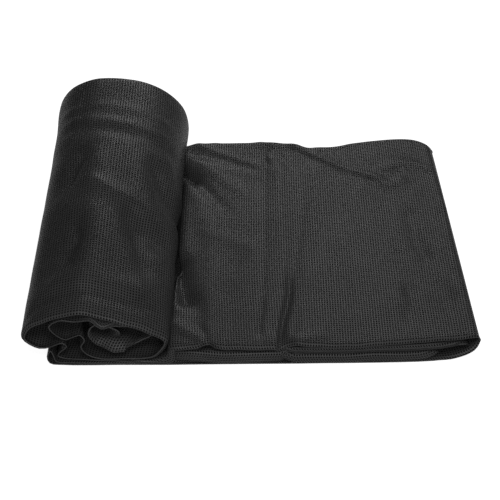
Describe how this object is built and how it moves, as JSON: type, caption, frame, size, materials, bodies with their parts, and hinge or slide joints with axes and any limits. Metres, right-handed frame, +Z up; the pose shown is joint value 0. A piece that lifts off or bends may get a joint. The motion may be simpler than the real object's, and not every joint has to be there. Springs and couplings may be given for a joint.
{
  "type": "archery backstop net, folded and rolled",
  "caption": "Black knitted mesh net, folded into a flat stack of plies whose end is rolled over into a loose, flattened roll, lying on a surface.",
  "frame": {"origin": "middle of the underside of the whole net's box, on the surface it lies on", "axes": "+X from the rolled end to the stack's folded end, +Y from the front edges to the back edges, +Z up"},
  "size_m": [0.4222, 0.308, 0.1062],
  "materials": {
    "net": "matte"
  },
  "bodies": {
    "root": {"net": "net"}
  },
  "joints": []
}
